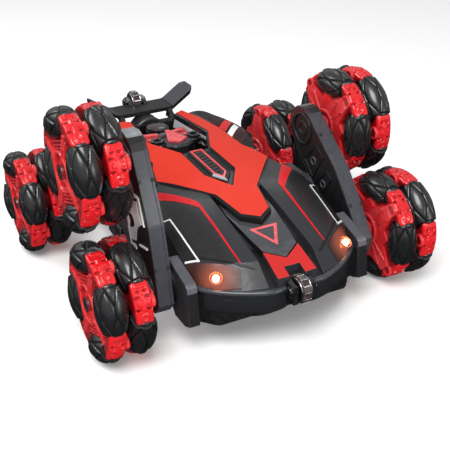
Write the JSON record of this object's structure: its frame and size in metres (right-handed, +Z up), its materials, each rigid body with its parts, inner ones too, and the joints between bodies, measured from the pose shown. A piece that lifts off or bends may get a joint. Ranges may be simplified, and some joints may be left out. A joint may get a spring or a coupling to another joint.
{
  "type": "rc stunt car",
  "caption": "Radio-controlled stunt car with omni-roller wheels, a wedge body, rear wing and swinging side arms that carry raised wheels.",
  "frame": {"origin": "on the floor under the middle of the car's overall box", "axes": "+Z up, the nose points to -Y, +X is on the right when looking at the nose from the front"},
  "size_m": [0.2546, 0.296, 0.1613],
  "materials": {
    "wheel_red": "high gloss red moulding",
    "roller_black": "glossy black grooved barrels",
    "steel": "turned steel",
    "arm_charcoal": "satin charcoal moulding",
    "gear_nylon": "natural nylon",
    "body_charcoal": "satin charcoal moulding",
    "chassis_black": "satin black moulding",
    "hood_red": "satin gloss red panel",
    "vent_black": "satin black insert",
    "grille_red": "red slatted insert",
    "bay_black": "semi gloss black insert",
    "side_grey": "light grey plate",
    "lens_smoke": "smoked clear lens",
    "led_amber": "clear lamp",
    "tip_roller_brown": "dark ribbed roller",
    "battery_blue": "heat-shrink sleeve",
    "board_green": "printed board",
    "gearbox_black": "moulded housing"
  },
  "bodies": {
    "chassis": {"lower_chassis": "chassis_black", "upper_shell": "body_charcoal", "hood_panel": "hood_red", "hood_vent": "vent_black", "nose_panel": "hood_red", "side_panels": "side_grey", "engine_bay_tray": "bay_black", "engine_grilles": "grille_red", "rear_spoiler": "body_charcoal", "headlight_lenses": "lens_smoke", "headlight_leds": "led_amber", "tip_roller_pins": "steel", "battery_pack": "battery_blue", "battery_cover": "chassis_black", "circuit_board": "board_green", "gear_motors": "gearbox_black", "body_screws": "steel"},
    "left_arm": {"left_arm_inner_cover": "arm_charcoal", "left_arm_outer_cover": "arm_charcoal"},
    "front_left_wheel": {"front_left_wheel_outer_frame": "wheel_red", "front_left_wheel_inner_frame": "wheel_red", "front_left_wheel_rollers": "roller_black", "front_left_wheel_roller_pins": "steel", "front_left_axle": "steel"},
    "middle_left_wheel": {"middle_left_wheel_outer_frame": "wheel_red", "middle_left_wheel_inner_frame": "wheel_red", "middle_left_wheel_rollers": "roller_black", "middle_left_wheel_roller_pins": "steel", "middle_left_axle": "steel"},
    "rear_left_wheel": {"rear_left_wheel_outer_frame": "wheel_red", "rear_left_wheel_inner_frame": "wheel_red", "rear_left_wheel_rollers": "roller_black", "rear_left_wheel_roller_pins": "steel", "rear_left_axle": "steel"},
    "left_arm_idler_1": {"left_arm_idler_gear_1": "gear_nylon"},
    "left_arm_idler_2": {"left_arm_idler_gear_2": "gear_nylon"},
    "left_arm_idler_3": {"left_arm_idler_gear_3": "gear_nylon"},
    "right_arm": {"right_arm_inner_cover": "arm_charcoal", "right_arm_outer_cover": "arm_charcoal"},
    "front_right_wheel": {"front_right_wheel_outer_frame": "wheel_red", "front_right_wheel_inner_frame": "wheel_red", "front_right_wheel_rollers": "roller_black", "front_right_wheel_roller_pins": "steel", "front_right_axle": "steel"},
    "middle_right_wheel": {"middle_right_wheel_outer_frame": "wheel_red", "middle_right_wheel_inner_frame": "wheel_red", "middle_right_wheel_rollers": "roller_black", "middle_right_wheel_roller_pins": "steel", "middle_right_axle": "steel"},
    "rear_right_wheel": {"rear_right_wheel_outer_frame": "wheel_red", "rear_right_wheel_inner_frame": "wheel_red", "rear_right_wheel_rollers": "roller_black", "rear_right_wheel_roller_pins": "steel", "rear_right_axle": "steel"},
    "right_arm_idler_1": {"right_arm_idler_gear_1": "gear_nylon"},
    "right_arm_idler_2": {"right_arm_idler_gear_2": "gear_nylon"},
    "right_arm_idler_3": {"right_arm_idler_gear_3": "gear_nylon"},
    "front_tip_roller": {"front_tip_roller": "tip_roller_brown"},
    "rear_tip_roller": {"rear_tip_roller": "tip_roller_brown"},
    "power_switch": {"power_switch": "chassis_black"}
  },
  "joints": [
    {"name": "left_arm_swing", "type": "hinge", "parent": "chassis", "child": "left_arm", "pos_m": [-0.076, -0.083, 0.04], "axis": [1, 0, 0], "continuous": true},
    {"name": "front_left_wheel_spin", "type": "hinge", "parent": "left_arm", "child": "front_left_wheel", "pos_m": [-0.1077, -0.083, 0.04], "axis": [1, 0, 0], "continuous": true},
    {"name": "middle_left_wheel_spin", "type": "hinge", "parent": "left_arm", "child": "middle_left_wheel", "pos_m": [-0.1077, -0.05815, 0.12129], "axis": [1, 0, 0], "continuous": true},
    {"name": "rear_left_wheel_spin", "type": "hinge", "parent": "chassis", "child": "rear_left_wheel", "pos_m": [-0.1077, 0.083, 0.04], "axis": [1, 0, 0], "continuous": true},
    {"name": "left_arm_idler_1_spin", "type": "hinge", "parent": "left_arm", "child": "left_arm_idler_1", "pos_m": [-0.0762, -0.07679, 0.06032], "axis": [1, 0, 0], "continuous": true},
    {"name": "left_arm_idler_2_spin", "type": "hinge", "parent": "left_arm", "child": "left_arm_idler_2", "pos_m": [-0.0762, -0.07057, 0.08064], "axis": [1, 0, 0], "continuous": true},
    {"name": "left_arm_idler_3_spin", "type": "hinge", "parent": "left_arm", "child": "left_arm_idler_3", "pos_m": [-0.0762, -0.06436, 0.10096], "axis": [1, 0, 0], "continuous": true},
    {"name": "right_arm_swing", "type": "hinge", "parent": "chassis", "child": "right_arm", "pos_m": [0.076, -0.083, 0.04], "axis": [1, 0, 0], "continuous": true},
    {"name": "front_right_wheel_spin", "type": "hinge", "parent": "right_arm", "child": "front_right_wheel", "pos_m": [0.1077, -0.083, 0.04], "axis": [1, 0, 0], "continuous": true},
    {"name": "middle_right_wheel_spin", "type": "hinge", "parent": "right_arm", "child": "middle_right_wheel", "pos_m": [0.1077, -0.0229, 0.1001], "axis": [1, 0, 0], "continuous": true},
    {"name": "rear_right_wheel_spin", "type": "hinge", "parent": "chassis", "child": "rear_right_wheel", "pos_m": [0.1077, 0.083, 0.04], "axis": [1, 0, 0], "continuous": true},
    {"name": "right_arm_idler_1_spin", "type": "hinge", "parent": "right_arm", "child": "right_arm_idler_1", "pos_m": [0.0762, -0.06797, 0.05503], "axis": [1, 0, 0], "continuous": true},
    {"name": "right_arm_idler_2_spin", "type": "hinge", "parent": "right_arm", "child": "right_arm_idler_2", "pos_m": [0.0762, -0.05295, 0.07005], "axis": [1, 0, 0], "continuous": true},
    {"name": "right_arm_idler_3_spin", "type": "hinge", "parent": "right_arm", "child": "right_arm_idler_3", "pos_m": [0.0762, -0.03792, 0.08508], "axis": [1, 0, 0], "continuous": true},
    {"name": "front_tip_roller_spin", "type": "hinge", "parent": "chassis", "child": "front_tip_roller", "pos_m": [0, -0.1385, 0.0448], "axis": [1, 0, 0], "continuous": true},
    {"name": "rear_tip_roller_spin", "type": "hinge", "parent": "chassis", "child": "rear_tip_roller", "pos_m": [0, 0.1385, 0.084], "axis": [1, 0, 0], "continuous": true},
    {"name": "power_switch_slide", "type": "slide", "parent": "chassis", "child": "power_switch", "axis": [1, 0, 0], "range_m": [0, 0.003]}
  ],
  "couplings": [
    {"joint": "middle_left_wheel_spin", "follows": "front_left_wheel_spin", "ratio": 1},
    {"joint": "left_arm_idler_1_spin", "follows": "front_left_wheel_spin", "ratio": -1},
    {"joint": "left_arm_idler_2_spin", "follows": "front_left_wheel_spin", "ratio": 1},
    {"joint": "left_arm_idler_3_spin", "follows": "front_left_wheel_spin", "ratio": -1},
    {"joint": "middle_right_wheel_spin", "follows": "front_right_wheel_spin", "ratio": 1},
    {"joint": "right_arm_idler_1_spin", "follows": "front_right_wheel_spin", "ratio": -1},
    {"joint": "right_arm_idler_2_spin", "follows": "front_right_wheel_spin", "ratio": 1},
    {"joint": "right_arm_idler_3_spin", "follows": "front_right_wheel_spin", "ratio": -1}
  ]
}
